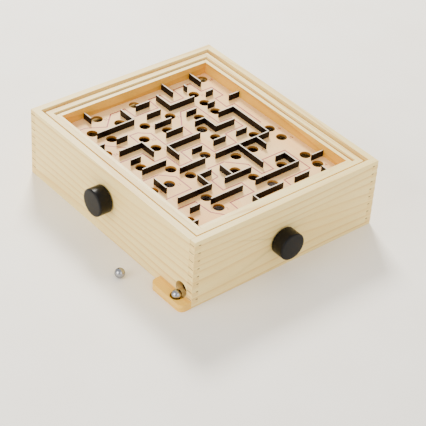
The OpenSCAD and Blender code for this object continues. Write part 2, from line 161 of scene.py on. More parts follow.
table_size = 12.0
table_material, table_tree, table_shader = blank_material("table_paint", srgb(253, 249, 240), 0.6)
table_grain = stretched_noise(table_tree, (9, 9, 9), detail=2)
table_tint = ramp(table_tree, table_grain, [(0.3, srgb(252, 247, 237)), (0.7, srgb(255, 252, 244))])
table_tree.links.new(table_tint, table_shader.inputs["Base Color"])
table_mesh = bpy.data.meshes.new("table")
half = table_size / 2
table_corners = [(-half, -half, 0), (half, -half, 0), (half, half, 0), (-half, half, 0)]
table_mesh.from_pydata(table_corners, [], [(0, 1, 2, 3)])
table_mesh.materials.append(table_material)
table = bpy.data.objects.new("table", table_mesh)
bpy.context.scene.collection.objects.link(table)


def lamp(name, place, target, width, watts, colour):
    """A square soft light of that width at place, turned towards target."""
    data = bpy.data.lights.new(name, "AREA")
    data.size = width
    data.energy = watts
    data.color = colour
    light = bpy.data.objects.new(name, data)
    light.location = place
    light.rotation_euler = (Vector(target) - Vector(place)).to_track_quat("-Z", "Y").to_euler()
    bpy.context.scene.collection.objects.link(light)


box_middle = (0, 0, 0.05)
lamp("window_light", (0.9, 1.5, 1.7), box_middle, 0.55, 100, (1.0, 0.96, 0.88))
lamp("left_fill", (-2.2, 0.1, 1.2), box_middle, 1.6, 48, (1.0, 0.96, 0.90))
lamp("front_fill", (-0.2, -2.4, 1.3), box_middle, 1.6, 16, (1.0, 0.96, 0.90))
room = bpy.data.worlds.new("room")
room.use_nodes = True
room.node_tree.nodes["Background"].inputs["Color"].default_value = (1.0, 0.985, 0.965, 1)
room.node_tree.nodes["Background"].inputs["Strength"].default_value = 1.0
bpy.context.scene.world = room

# --- Box: four pine walls with finger-jointed corners ---------------------------
# Planed softwood boards, cut with square fingers at each corner and glued, under a
# thin satin lacquer. Each face cuts the growth rings lengthwise, as gently waving lines.
pine_pale = srgb(254, 230, 156)
pine_mid = srgb(246, 212, 128)
pine_dark = srgb(214, 162, 74)


def growth_rings(tree, along, pith, per_metre, wander, offset):
    """0 to 1 across each growth ring: the fraction of distance from the pith line times
    rings per metre, plus slow noise times wander so that the lines run in gentle waves."""
    place = tree.nodes.new("ShaderNodeTexCoord")
    mapping = tree.nodes.new("ShaderNodeMapping")
    long_way = "XYZ".index(along)
    flatten = [1.0, 1.0, 1.0]
    flatten[long_way] = 0.03
    mapping.inputs["Scale"].default_value = flatten
    mapping.inputs["Location"].default_value = pith
    tree.links.new(place.outputs["Object"], mapping.inputs["Vector"])
    reach = tree.nodes.new("ShaderNodeVectorMath")
    reach.operation = "LENGTH"
    tree.links.new(mapping.outputs["Vector"], reach.inputs[0])
    slow = [16.0, 16.0, 16.0]
    slow[long_way] = 2.6
    wave = stretched_noise(tree, slow, 1.0, offset)
    waver = tree.nodes.new("ShaderNodeMath")
    waver.operation = "MULTIPLY"
    waver.inputs[1].default_value = wander
    tree.links.new(wave, waver.inputs[0])
    count = tree.nodes.new("ShaderNodeMath")
    count.operation = "MULTIPLY_ADD"
    count.inputs[1].default_value = per_metre
    tree.links.new(reach.outputs["Value"], count.inputs[0])
    tree.links.new(waver.outputs[0], count.inputs[2])
    part = tree.nodes.new("ShaderNodeMath")
    part.operation = "FRACT"
    tree.links.new(count.outputs[0], part.inputs[0])
    return part.outputs[0]


def wood(name, along, pale, mid, dark, seed, gloss=0.42, rings=105.0, wander=4.5):
    """Wood with its grain along one axis: growth rings that darken slowly and end in a
    thin late-wood line, cloudy tone, fine streaks and pores, and speckled cut ends."""
    streak_share = 0.25
    pore_share = 0.25
    end_tint = 0.25
    white = (1, 1, 1, 1)
    material, tree, shader = blank_material(name, mid, gloss)
    long_way = "XYZ".index(along)

    def stretch(across, lengthwise):
        numbers = [across] * 3
        numbers[long_way] = lengthwise
        return numbers

    offset = (seed * 3.7, seed * 1.9, seed * 5.3)
    pith = [0.09 + 0.013 * (seed % 5), 0.09 + 0.013 * (seed % 3), 0.11 + 0.011 * (seed % 4)]
    ring = growth_rings(tree, along, pith, rings, wander, offset)
    streaks = stretched_noise(tree, stretch(750, 16), 3.0, offset, 0.2)
    pores = stretched_noise(tree, stretch(2700, 110), 2.0, offset)
    cloud = stretched_noise(tree, stretch(22, 6), 2.0, offset)
    early_wood = [(0.0, pale), (0.45, pale), (0.72, mid)]
    late_wood = [(0.86, dark), (0.94, dark), (0.985, mid), (1.0, pale)]
    colour = ramp(tree, ring, early_wood + late_wood)
    soft = ramp(tree, cloud, [(0.35, mid), (0.65, pale)])
    soft_share = ramp(tree, cloud, [(0.32, (0.75, 0.75, 0.75, 1)), (0.68, (0.15, 0.15, 0.15, 1))])
    colour = blend_colours(tree, soft_share, colour, soft)
    streak_colour = ramp(tree, streaks, [(0.35, mid), (0.62, pale)])
    colour = blend_colours(tree, streak_share, colour, streak_colour)
    pore_mask = ramp(tree, pores, [(0.30, srgb(178, 150, 112)), (0.42, white)])
    colour = blend_colours(tree, pore_share, colour, pore_mask, "MULTIPLY")
    ends = facing(tree, along, 0.75, 0.95)
    end_speck = stretched_noise(tree, (1500, 1500, 1500), 2.0, offset)
    end_colour = ramp(tree, end_speck, [(0.35, mid), (0.65, pale)])
    end_colour = blend_colours(tree, end_tint, end_colour, dark)
    colour = blend_colours(tree, ends, colour, end_colour)
    tree.links.new(colour, shader.inputs["Base Color"])
    rough = tree.nodes.new("ShaderNodeMapRange")
    rough.inputs["To Min"].default_value = gloss - 0.07
    rough.inputs["To Max"].default_value = gloss + 0.12
    tree.links.new(streaks, rough.inputs["Value"])
    tree.links.new(rough.outputs["Result"], shader.inputs["Roughness"])
    shader.inputs["Specular IOR Level"].default_value = 0.28
    shader.inputs["Coat Weight"].default_value = 0.05
    shader.inputs["Coat Roughness"].default_value = 0.3
    bump(tree, shader, pores, 0.25, 0.00008)
    return material


same_point = 0.00001


def finish_node(node, material, ease=0.0):
    """Gives a CAD node its material; ease rounds its edges by that many metres."""
    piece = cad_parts[node]
    piece.data.materials.clear()
    piece.data.materials.append(material)
    if ease:
        weld = piece.modifiers.new("weld", "WELD")
        weld.merge_threshold = same_point
        bevel = piece.modifiers.new("ease", "BEVEL")
        bevel.width = ease
        bevel.segments = 2
        bevel.limit_method = "ANGLE"
        bevel.angle_limit = math.radians(40)
    return piece


wall_ease = 0.0005
sides = [("front", "X"), ("back", "X"), ("left", "Y"), ("right", "Y")]
for seed, (side, along) in enumerate(sides, start=1):
    pine = wood("pine_" + side + "_wall", along, pine_pale, pine_mid, pine_dark, seed)
    finish_node(side + "_wall", pine, wall_ease)

# --- Catch floor, its battens and the guide strip --------------------------------
# A thin panel that slopes to the exit corner, carried on battens,
# with a tapered strip on the front wall that steers a dropped ball to the exit.
# The panel's dark brown is painted shade: the shade inside the closed box.
honey_pale = srgb(240, 188, 72)
honey_mid = srgb(230, 168, 50)
honey_dark = srgb(192, 122, 26)
batten_ease = 0.0003
# Painted shade: the floor's wood colours are darkened to stand for the shade inside the closed box.
floor_painted_shade_wood = wood("painted_shade_floor", "Y", srgb(112, 74, 34), srgb(88, 56, 24), srgb(58, 36, 16), 11)
finish_node("catch_floor", floor_painted_shade_wood, batten_ease)
guide_wood = wood("honey_guide", "X", honey_pale, honey_mid, honey_dark, 12)
finish_node("exit_guide", guide_wood, batten_ease)
battens = [("floor_cleat_" + side, along) for side, along in sides] + [("floor_bearer", "X")]
for seed, (node, along) in enumerate(battens, start=21):
    pine = wood("pine_" + node, along, pine_pale, pine_mid, pine_dark, seed)
    finish_node(node, pine, batten_ease)

# --- Exit tray --------------------------------------------------------------------
# A small rounded block of honey-coloured wood glued outside the exit hole, with a
# round pit that holds a ball.
tray_ease = 0.0006
tray_wood = wood("honey_exit_tray", "Y", srgb(252, 208, 98), srgb(244, 190, 74), srgb(212, 148, 44), 31,
                 gloss=0.35)
finish_node("exit_tray", tray_wood, tray_ease)

# --- Outer and inner frames --------------------------------------------------------
# Each frame is four rails butted and glued at the corners. The outer frame is
# pale pine; the inner frame carries the maze board. Its honey inside is partly the
# wood's colour and partly painted shade of the unlit inner faces, and its top
# faces are painted pale as lit tops.
rail_ease = 0.0005
for seed, (side, along) in enumerate(sides, start=41):
    pine = wood("pine_outer_" + side, along, pine_pale, pine_mid, pine_dark, seed)
    finish_node("outer_frame_" + side, pine, rail_ease)


def tray_rail_wood(name, along, seed):
    """Honey-coloured rail wood whose top faces are painted pale as lit tops; the honey of the sides is
    partly painted shade.
    """
    material = wood(name, along, honey_pale, honey_mid, honey_dark, seed, gloss=0.36)
    tree = material.node_tree
    shader = tree.nodes["Principled BSDF"]
    honey = shader.inputs["Base Color"].links[0].from_socket
    painted_lit_top_grain = stretched_noise(tree, (900, 60, 900) if along == "Y" else (60, 900, 900), 2.0)
    top = ramp(tree, painted_lit_top_grain, [(0.3, pine_mid), (0.6, pine_pale)])
    # Painted light: upward faces take a pale pine colour as lit tops, over honey sides that are partly
    # painted shade.
    tree.links.new(blend_colours(tree, facing(tree, "Z", 0.6, 0.9), honey, top), shader.inputs["Base Color"])
    return material


for seed, (side, along) in enumerate(sides, start=51):
    honey = tray_rail_wood("honey_rail_" + side, along, seed)
    finish_node("inner_frame_" + side, honey, rail_ease)
cleat_wood = wood("pine_board_cleats", "Y", pine_pale, pine_mid, pine_dark, 61)
finish_node("board_cleats", cleat_wood, batten_ease)

# --- Maze board ------------------------------------------------------------------
# Birch plywood 3.5 mm thick, drilled with 14 mm holes whose cut edges are left tan.
board_material = wood("printed_board", "Y", srgb(255, 213, 150), srgb(254, 204, 134), srgb(250, 190, 114),
                      71, gloss=0.4, rings=40.0, wander=2.0)
board_tree = board_material.node_tree
board_shader = board_tree.nodes["Principled BSDF"]
board_face = board_shader.inputs["Base Color"].links[0].from_socket
ply_layers = stretched_noise(board_tree, (8, 8, 900), 1.0)
ply_edge = ramp(board_tree, ply_layers, [(0.4, srgb(140, 92, 36)), (0.55, srgb(196, 142, 66))])
board_colour = blend_colours(board_tree, facing(board_tree, "Z", 0.3, 0.9), ply_edge, board_face)
board_tree.links.new(board_colour, board_shader.inputs["Base Color"])
board_shader.inputs["Specular IOR Level"].default_value = 0.12
board_shader.inputs["Coat Weight"].default_value = 0.0
board_ease = 0.0003
finish_node("maze_board", board_material, board_ease)

# --- Maze walls -------------------------------------------------------------------
# Strips of wood 2 mm thick and 9 mm high, stained dark brown and glued on edge.
# Their narrow top faces are painted pale, a painted highlight for the light the glossy tops reflect, and
# show as a thin light line.


def new_piece(name, points, faces, material, body, smooth=True):
    """A closed mesh from a point array and face index lists, with faces turned outwards."""
    mesh = bpy.data.meshes.new(name)
    mesh.from_pydata(np.asarray(points, float).tolist(), [], [list(map(int, f)) for f in faces])
    shape = bmesh.new()
    shape.from_mesh(mesh)
    bmesh.ops.recalc_face_normals(shape, faces=shape.faces)
    shape.to_mesh(mesh)
    shape.free()
    mesh.polygons.foreach_set("use_smooth", [smooth] * len(mesh.polygons))
    mesh.materials.append(material)
    piece = bpy.data.objects.new(name, mesh)
    bpy.context.scene.collection.objects.link(piece)
    if body:
        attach(piece, body)
    return piece


def solids_of(node):
    """The lowest and highest corners of each separate solid in a CAD node, as two arrays."""
    shape = bmesh.new()
    shape.from_mesh(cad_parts[node].data)
    bmesh.ops.remove_doubles(shape, verts=shape.verts, dist=same_point)
    shape.verts.ensure_lookup_table()
    left = set(shape.verts)
    lows, highs = [], []
    while left:
        reached, edge = set(), {left.pop()}
        while edge:
            vertex = edge.pop()
            reached.add(vertex)
            edge.update({e.other_vert(vertex) for e in vertex.link_edges} - reached)
        left -= reached
        corners = np.array([v.co for v in reached])
        lows.append(corners.min(0))
        highs.append(corners.max(0))
    shape.free()
    order = np.lexsort((np.array(lows)[:, 0], np.array(lows)[:, 1]))
    return np.array(lows)[order], np.array(highs)[order]


corner_steps = np.array([(0, 0, 0), (1, 0, 0), (1, 1, 0), (0, 1, 0),
                         (0, 0, 1), (1, 0, 1), (1, 1, 1), (0, 1, 1)])
box_faces = np.array([(0, 3, 2, 1), (4, 5, 6, 7), (0, 1, 5, 4), (1, 2, 6, 5), (2, 3, 7, 6), (3, 0, 4, 7)])


def strips(name, lows, highs, material, body, ease):
    """Straight bars: corner k of bar i is lows + step k times (highs - lows), edges eased by a bevel."""
    points = (lows[:, None] + corner_steps[None] * (highs - lows)[:, None]).reshape(-1, 3)
    first_corners = len(corner_steps) * np.arange(len(lows))
    faces = (box_faces[None] + first_corners[:, None, None]).reshape(-1, 4)
    piece = new_piece(name, points, faces, material, body, smooth=False)
    bevel = piece.modifiers.new("ease", "BEVEL")
    bevel.width = ease
    bevel.segments = 2
    return piece


maze_stain, maze_tree, maze_shader = blank_material("dark_stained_strip", srgb(22, 12, 9), 0.4)
stain_streaks = stretched_noise(maze_tree, (500, 500, 90), 3.0)
stain = ramp(maze_tree, stain_streaks, [(0.3, srgb(6, 4, 4)), (0.7, srgb(26, 13, 9))])
# Painted highlight: upward faces are coloured near white for the light the glossy tops reflect.
painted_top_highlight = ramp(maze_tree, stain_streaks, [(0.3, srgb(232, 214, 190)), (0.7, srgb(252, 240, 218))])
maze_colour = blend_colours(maze_tree, facing(maze_tree, "Z", 0.88, 0.97), stain, painted_top_highlight)
maze_tree.links.new(maze_colour, maze_shader.inputs["Base Color"])
maze_shader.inputs["Specular IOR Level"].default_value = 0.1
bump(maze_tree, maze_shader, stain_streaks, 0.2, 0.00005)
strip_ease = 0.00045
for node in ("cross_maze_walls", "long_maze_walls"):
    strip_lows, strip_highs = solids_of(node)
    wall_strips = strips(node + "_strips", strip_lows, strip_highs, maze_stain, "maze_tray",
                         strip_ease)
    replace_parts(wall_strips, node)

# --- Dark lines of the corner joints ----------------------------------------------
# The shadow in the thin gap under every second finger of the box corners is painted shade:
# a dark strip set in the gap, which shows as a short dark dash on each face.
# Painted shade: dark brown strips stand for the shadow in the joint gaps.
gap_shade, gap_shade_tree, gap_shade_shader = blank_material("painted_gap_shade_line", srgb(84, 60, 36), 0.8)
gap_shade_speck = stretched_noise(gap_shade_tree, (900, 900, 900), 3.0)
gap_shade_tint = ramp(gap_shade_tree, gap_shade_speck, [(0.3, srgb(52, 36, 22)), (0.7, srgb(108, 80, 48))])
gap_shade_tree.links.new(gap_shade_tint, gap_shade_shader.inputs["Base Color"])
box_low = np.array(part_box("front_wall")[0])
box_high = np.array(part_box("back_wall")[1])
wall_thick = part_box("front_wall")[1].y - box_low[1]
finger_pairs = 8
finger_pitch = (box_high[2] - box_low[2]) / (finger_pairs * 2 + 1) * 2
line_height = 0.0009
line_proud = 0.00003
line_depth = 0.0004
dash_side = 0.0078
dash_front = 0.0030
heights = box_low[2] + finger_pitch * (np.arange(finger_pairs) + 1)
dash_lows, dash_highs = [], []
for x_face, x_out in ((box_low[0], -1), (box_high[0], 1)):
    x_pair = sorted((x_face + x_out * line_proud, x_face - x_out * line_depth))
    for y_corner, y_in in ((box_low[1], 1), (box_high[1], -1)):
        y_pair = sorted((y_corner + y_in * (wall_thick - dash_side), y_corner + y_in * wall_thick))
        for z in heights:
            dash_lows.append((x_pair[0], y_pair[0], z - line_height / 2))
            dash_highs.append((x_pair[1], y_pair[1], z + line_height / 2))
for y_face, y_out in ((box_low[1], -1), (box_high[1], 1)):
    y_pair = sorted((y_face + y_out * line_proud, y_face - y_out * line_depth))
    for x_corner, x_in in ((box_low[0], 1), (box_high[0], -1)):
        x_pair = sorted((x_corner + x_in * (wall_thick - dash_front), x_corner + x_in * wall_thick))
        for z in heights:
            dash_lows.append((x_pair[0], y_pair[0], z - line_height))
            dash_highs.append((x_pair[1], y_pair[1], z + line_height / 2))
dash_ease = 0.0001
strips("corner_joint_lines", np.array(dash_lows), np.array(dash_highs), gap_shade, "box", dash_ease)

# --- Printed route and hole numbers -----------------------------------------------
# A thin red line and small red numbers printed on the board: the ink stands 0.04 mm
# proud of the wood. Each route is a list of corners in millimetres, counted from the
# board's front left corner.
ink, ink_tree, ink_shader = blank_material("red_ink", srgb(150, 12, 16), 0.5)
ink_speck = stretched_noise(ink_tree, (700, 700, 700), 2.0)
ink_tint = ramp(ink_tree, ink_speck, [(0.3, srgb(140, 8, 12)), (0.7, srgb(168, 22, 22))])
ink_tree.links.new(ink_tint, ink_shader.inputs["Base Color"])
board_low, board_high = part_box("maze_board")
ink_height = 0.00004
line_width = 0.0017
routes = [
    [(0, 253.4), (21.7, 253.4), (45.5, 240.5), (66, 261.2), (88, 261.2), (88.8, 239.8), (125, 239.8),
     (126, 261.5), (145, 262), (146, 239.8), (166.5, 239.8), (167, 262.5), (194.5, 262.5), (195.2, 239.8),
     (212.8, 239.8), (213.5, 217), (200, 216.2), (199.5, 193), (213, 192.4), (213, 140)],
    [(167.4, 216.2), (143, 216.2), (125, 190.5), (124.5, 169), (82.4, 169), (82.4, 198.4), (69.5, 208.6),
     (57.4, 209), (57.4, 190)],
    [(167.6, 216), (167.8, 170), (188.3, 168.7), (188.8, 147), (159, 145.5), (158, 122.7), (122.5, 122.3),
     (121.7, 145.5), (88.5, 145.5), (88, 123), (69, 122.5), (68, 147), (49.5, 147), (47.8, 168.7),
     (0, 168.7)],
    [(11, 217), (39.5, 189)],
    [(0, 122.7), (36, 122.7), (51.5, 107.5), (51.7, 78), (0, 77.7)],
    [(93.5, 80), (94, 99), (118.8, 99), (139.8, 78.4), (141, 54), (159.5, 53.7), (160.2, 76), (197, 76),
     (197.8, 29.5), (155, 28.7), (154.5, 0)],
    [(93.5, 79), (82, 77.2), (81.2, 54.5), (109, 53.7), (109.5, 31), (72.5, 30.5), (71.4, 0)],
    [(0, 55.3), (39.5, 55.2), (41.7, 28.4), (52.4, 15.5)],
]


def ribbon(corners, width, low, high):
    """A flat band along a line of corners: each corner is moved by half the width along
    the mitre of its two neighbours' normals, and the band has a top and an underside."""
    line = np.array(corners, float)
    steps = np.diff(line, axis=0)
    steps /= np.linalg.norm(steps, axis=1)[:, None]
    before = np.vstack([steps[:1], steps])
    after = np.vstack([steps, steps[-1:]])
    normal_before = np.stack([-before[:, 1], before[:, 0]], 1)
    normal_after = np.stack([-after[:, 1], after[:, 0]], 1)
    mitre = normal_before + normal_after
    mitre /= (mitre * normal_before).sum(1)[:, None]
    left, rightward = line + mitre * width / 2, line - mitre * width / 2
    flat = np.stack([left, rightward], 1).reshape(-1, 2)
    points = np.vstack([np.c_[flat, np.full(len(flat), high)], np.c_[flat, np.full(len(flat), low)]])
    n = len(flat)
    k = np.arange(len(line) - 1) * 2
    top = np.stack([k, k + 1, k + 3, k + 2], 1)
    edge_left = np.stack([k, k + 2, k + 2 + n, k + n], 1)
    edge_right = np.stack([k + 1, k + 3, k + 3 + n, k + 1 + n], 1)
    ends = np.array([[0, 1, 1 + n, n], [n - 2, n - 1, 2 * n - 1, 2 * n - 2]])
    return points, np.vstack([top, top + n, edge_left, edge_right, ends])


bare_edge = 0.0004
route_points, route_faces, count = [], [], 0
for corners in routes:
    on_board = np.array(corners) / 1000 + np.array([board_low.x, board_low.y])
    on_board = np.clip(on_board, [board_low.x + bare_edge, board_low.y + bare_edge],
                       [board_high.x - bare_edge, board_high.y - bare_edge])
    points, faces = ribbon(on_board, line_width, board_high.z - ink_height / 2, board_high.z + ink_height)
    route_points.append(points)
    route_faces.append(faces + count)
    count += len(points)
new_piece("printed_route", np.vstack(route_points), np.vstack(route_faces), ink, "maze_tray",
          smooth=False)


def hole_centres(node, hole_radius):
    """Centres of a drilled board's holes: the mean of the rim points within one hole of each."""
    points = np.array([v.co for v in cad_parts[node].data.vertices])
    rim = np.unique(points[points[:, 2] > points[:, 2].max() - same_point][:, :2].round(6), axis=0)
    low, high = points[:, :2].min(0), points[:, :2].max(0)
    rim = rim[((rim - low > same_point) & (high - rim > same_point)).all(1)]
    centres = []
    while len(rim):
        near = np.linalg.norm(rim - rim[0], axis=1) < 2.05 * hole_radius
        centres.append((rim[near].min(0) + rim[near].max(0)) / 2)
        rim = rim[~near]
    centres = np.array(centres)
    return centres[np.lexsort((centres[:, 0], centres[:, 1].round(3)))]


hole_radius = 0.007
number_height = 0.0048
type_size = number_height * 1.4
beside_hole = hole_radius * 0.75
below_hole = hole_radius + number_height * 0.55
number_points, number_faces, count = [], [], 0
for number, centre in enumerate(hole_centres("maze_board", hole_radius), start=1):
    lettering = bpy.data.curves.new("number", "FONT")
    lettering.body = str(number)
    lettering.size = type_size
    lettering.align_x = "LEFT"
    writing = bpy.data.objects.new("number", lettering)
    bpy.context.scene.collection.objects.link(writing)
    flat = writing.to_mesh()
    shape = bmesh.new()
    shape.from_mesh(flat)
    writing.to_mesh_clear()
    made = bmesh.ops.extrude_face_region(shape, geom=shape.faces[:])
    lifted = [v for v in made["geom"] if isinstance(v, bmesh.types.BMVert)]
    bmesh.ops.translate(shape, vec=(0, 0, ink_height * 1.5), verts=lifted)
    shape.verts.index_update()
    corners = np.array([v.co for v in shape.verts])
    corners += [centre[0] + beside_hole, centre[1] - below_hole, board_high.z - ink_height / 2]
    number_points.append(corners)
    number_faces += [[v.index + count for v in f.verts] for f in shape.faces]
    count += len(corners)
    shape.free()
    bpy.data.objects.remove(writing)
new_piece("printed_numbers", np.vstack(number_points), number_faces, ink, "maze_tray",
          smooth=False)

# --- Knobs ------------------------------------------------------------------------
# Two turned knobs, lacquered glossy black, pressed on the shafts. The rim is
# eased and the face is very slightly crowned.
side_count = 72


def turned(profile, place, axis, closed=False):
    """A profile of (radius, height) points carried round an axis:
    place + height * axis + radius * (cos a * u + sin a * v). Ends are flat unless closed."""
    profile = np.array(profile, float)
    axis = np.array(axis, float) / np.linalg.norm(axis)
    u = np.cross(axis, [0, 0, 1.0])
    u /= np.linalg.norm(u)
    v = np.cross(axis, u)
    a = np.linspace(0, 2 * np.pi, side_count, endpoint=False)
    ring = np.cos(a)[:, None] * u + np.sin(a)[:, None] * v
    points = np.array(place) + profile[:, 1, None, None] * axis + profile[:, 0, None, None] * ring[None]
    n = len(profile)
    rows = np.arange(n if closed else n - 1)
    k, j = np.meshgrid(rows, np.arange(side_count), indexing="ij")
    following, across = (k + 1) % n, (j + 1) % side_count
    faces = np.stack([k * side_count + j, k * side_count + across, following * side_count + across,
                      following * side_count + j], -1).reshape(-1, 4).tolist()
    if not closed:
        faces += [list(range(side_count)), list(range((n - 1) * side_count, n * side_count))]
    return points.reshape(-1, 3), faces


def arc(centre, radius, start, end, steps=8):
    """Points of a circle's arc from start to end degrees."""
    a = np.radians(np.linspace(start, end, steps + 1))
    return np.c_[centre[0] + radius * np.cos(a), centre[1] + radius * np.sin(a)].tolist()


def sharpened(piece, degrees=35):
    """Keeps edges sharper than that angle crisp, and smooths the rest."""
    mesh = piece.data
    shape = bmesh.new()
    shape.from_mesh(mesh)
    for e in shape.edges:
        e.smooth = len(e.link_faces) == 2 and e.calc_face_angle(0) < math.radians(degrees)
    shape.to_mesh(mesh)
    shape.free()
    return piece


knob_lacquer, knob_tree, knob_shader = blank_material("black_lacquer", srgb(4, 4, 6), 0.3)
knob_cloud = stretched_noise(knob_tree, (180, 180, 180), 4.0)
knob_tint = ramp(knob_tree, knob_cloud, [(0.3, srgb(2, 5, 10)), (0.75, srgb(13, 8, 6))])
knob_tree.links.new(knob_tint, knob_shader.inputs["Base Color"])
knob_rough = knob_tree.nodes.new("ShaderNodeMapRange")
knob_rough.inputs["To Min"].default_value = 0.28
knob_rough.inputs["To Max"].default_value = 0.44
knob_tree.links.new(stretched_noise(knob_tree, (900, 900, 900), 3.0), knob_rough.inputs["Value"])
knob_tree.links.new(knob_rough.outputs["Result"], knob_shader.inputs["Roughness"])
knob_shader.inputs["Specular IOR Level"].default_value = 0.16
bump(knob_tree, knob_shader, knob_cloud, 0.08, 0.0001)


def knob(node, body, out):
    """A knob between the CAD knob's two faces; out is the direction its face looks."""
    low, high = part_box(node)
    out = Vector(out)
    middle = (low + high) / 2
    length = abs((high - low).dot(out))
    radius = (high.z - low.z) / 2
    bore = 0.003
    edge = 0.0016
    back_edge = 0.0006
    crown = 0.0005
    inner = middle - out * length / 2
    profile = [(bore, 0.0), (radius - back_edge, 0.0), (radius, back_edge)]
    profile += arc((radius - edge, length - edge - crown), edge, 0, 82)
    face = np.linspace(radius - edge, 0.0001, 9)
    profile += [(r, length - crown * (r / radius) ** 2) for r in face]
    points, faces = turned(profile, inner, out)
    piece = sharpened(new_piece(node + "_turned", points, faces, knob_lacquer, body))
    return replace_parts(piece, node)


knob("left_knob", "left_drive", (-1, 0, 0))
knob("front_knob", "front_drive", (0, -1, 0))

# --- Shafts, pins, washers and retaining rings ------------------------------------
# Plain drawn steel rod, with pressed steel washers and brass spacers on the pins.


def metal(name, colour, roughness, seed):
    """Drawn metal: a cloudy tint and a slightly uneven gloss, both from noise."""
    material, tree, shader = blank_material(name, colour, roughness)
    shader.inputs["Metallic"].default_value = 1.0
    cloud = stretched_noise(tree, (400, 400, 400), 3.0, (seed, seed, seed))
    darker = tuple(c * 0.78 for c in colour[:3]) + (1.0,)
    tree.links.new(ramp(tree, cloud, [(0.3, darker), (0.65, colour)]), shader.inputs["Base Color"])
    spread = tree.nodes.new("ShaderNodeMapRange")
    spread.inputs["To Min"].default_value = roughness * 0.7
    spread.inputs["To Max"].default_value = roughness * 1.4
    tree.links.new(stretched_noise(tree, (2500, 2500, 2500), 2.0), spread.inputs["Value"])
    tree.links.new(spread.outputs["Result"], shader.inputs["Roughness"])
    return material


rod_steel = metal("drawn_steel", srgb(196, 197, 200), 0.3, 3)
pin_brass = metal("spacer_brass", srgb(214, 176, 96), 0.28, 5)
tip = 0.0004


def rods(name, node, axis, material, body):
    """Straight rods in place of each solid of a CAD node, with chamfered ends."""
    along = "XYZ".index(axis)
    direction = np.eye(3)[along]
    all_points, all_faces, count = [], [], 0
    for low, high in zip(*solids_of(node)):
        length = high[along] - low[along]
        radius = (high[(along + 1) % 3] - low[(along + 1) % 3]) / 2
        start = (low + high) / 2 - direction * length / 2
        profile = [(radius - tip, 0), (radius, tip), (radius, length - tip), (radius - tip, length)]
        points, faces = turned(profile, start, direction)
        all_points.append(points)
        all_faces += [[i + count for i in f] for f in faces]
        count += len(points)
    piece = sharpened(new_piece(name, np.vstack(all_points), all_faces, material, body))
    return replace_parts(piece, node)


rods("left_shaft_rod", "left_shaft", "X", rod_steel, "left_drive")
rods("front_shaft_rod", "front_shaft", "Y", rod_steel, "front_drive")
rods("outer_pins_turned", "outer_pivot_pins", "X", rod_steel, "box")
rods("inner_pins_turned", "inner_pivot_pins", "Y", rod_steel, "outer_frame")


def rings(name, node, axis, bore, material, body, slot_name):
    """Flat rings in place of each solid of a CAD node: a rounded oblong carried round the axis."""
    along = "XYZ".index(axis)
    direction = np.eye(3)[along]
    all_points, all_faces, count = [], [], 0
    for low, high in zip(*solids_of(node)):
        thick = high[along] - low[along]
        radius = (high[(along + 1) % 3] - low[(along + 1) % 3]) / 2
        start = (low + high) / 2 - direction * thick / 2
        eased = min(0.0003, thick / 3)
        outline = [(bore, 0), (radius - eased, 0), (radius, eased), (radius, thick - eased),
                   (radius - eased, thick), (bore, thick)]
        points, faces = turned(outline, start, direction, closed=True)
        all_points.append(points)
        all_faces += [[i + count for i in f] for f in faces]
        count += len(points)
    piece = sharpened(new_piece(name, np.vstack(all_points), all_faces, material, body), 25)
    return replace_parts(piece, node)


shaft_radius = 0.003
pin_radius = 0.002
rings("left_washer_ring", "left_washer", "X", shaft_radius, rod_steel, "left_drive", "steel")
rings("front_washer_ring", "front_washer", "Y", shaft_radius, rod_steel, "front_drive", "steel")
rings("left_retainer_rings", "left_retainers", "X", shaft_radius, rod_steel, "left_drive", "steel")
rings("front_retainer_rings", "front_retainers", "Y", shaft_radius, rod_steel, "front_drive", "steel")
rings("outer_spacer_rings", "outer_pivot_spacers", "X", pin_radius, pin_brass, "box", "brass")
rings("inner_spacer_rings", "inner_pivot_spacers", "Y", pin_radius, pin_brass, "outer_frame", "brass")

# --- Screw eyes, cords and springs -------------------------------------------------
# Under each frame a white braided cord runs from a screw eye, three times round
# the shaft and on to a small coil spring hooked on the opposite eye.


def tube(path, radius, sides=8):
    """A round tube: each ring is path + radius * (cos a * u + sin a * v), where u and v
    are carried from ring to ring so that the tube doesn't twist. Ends are closed."""
    path = np.array(path, float)
    heading = np.gradient(path, axis=0)
    heading /= np.linalg.norm(heading, axis=1)[:, None]
    u = np.cross(heading[0], [0.3, 0.5, 0.8])
    us = []
    for t in heading:
        u = u - u.dot(t) * t
        u = u / np.linalg.norm(u)
        us.append(u)
    us = np.array(us)
    vs = np.cross(heading, us)
    a = np.linspace(0, 2 * np.pi, sides, endpoint=False)
    ring = np.cos(a)[None, :, None] * us[:, None] + np.sin(a)[None, :, None] * vs[:, None]
    points = path[:, None] + radius * ring
    k, j = np.meshgrid(np.arange(len(path) - 1), np.arange(sides), indexing="ij")
    across = (j + 1) % sides
    here, following = k * sides, (k + 1) * sides
    quads = np.stack([here + j, here + across, following + across, following + j], -1)
    faces = quads.reshape(-1, 4).tolist()
    faces += [list(range(sides)), list(range((len(path) - 1) * sides, len(path) * sides))]
    return points.reshape(-1, 3), faces


def straight(start, end, steps):
    """Evenly spaced points from start to end, both included."""
    k = np.linspace(0, 1, steps)[:, None]
    return np.array(start) * (1 - k) + np.array(end) * k


